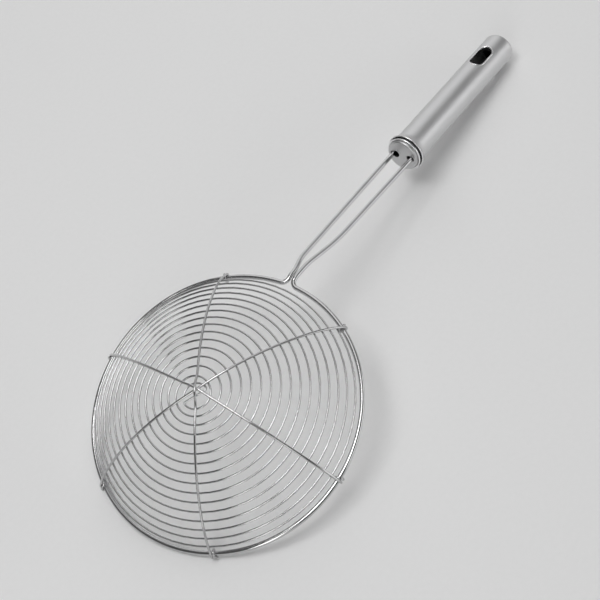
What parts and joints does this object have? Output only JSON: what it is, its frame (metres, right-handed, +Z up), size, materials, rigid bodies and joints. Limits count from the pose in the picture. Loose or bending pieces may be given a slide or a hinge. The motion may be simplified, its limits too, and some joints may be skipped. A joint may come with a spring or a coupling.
{
  "type": "spider skimmer",
  "caption": "Wire skimmer with a shallow spiral bowl under crossing stays in a round hoop, on two tangs that end in a tubular handle with a hanging slot.",
  "frame": {"origin": "bottom centre of the whole skimmer as it lies face down on a table", "axes": "+X along the length from the bowl to the handle, +Y to the side, +Z up out of the back of the bowl"},
  "size_m": [0.3912, 0.1624, 0.0659],
  "materials": {
    "frame_steel": "polished stainless wire",
    "cross_steel": "polished stainless wire",
    "spiral_steel": "polished stainless wire",
    "handle_steel": "satin stainless tube",
    "cap_steel": "satin stainless sheet",
    "bead_steel": "polished stainless ring",
    "anchor_steel": "turned stainless disc"
  },
  "bodies": {
    "root": {"frame_wire": "frame_steel", "cross_wire_bottom": "cross_steel", "cross_wire_middle": "cross_steel", "cross_wire_top": "cross_steel", "spiral_wire": "spiral_steel", "handle_tube": "handle_steel", "front_cap": "cap_steel", "bead_ring": "bead_steel", "wire_anchor": "anchor_steel", "heel_disc": "handle_steel"}
  },
  "joints": []
}
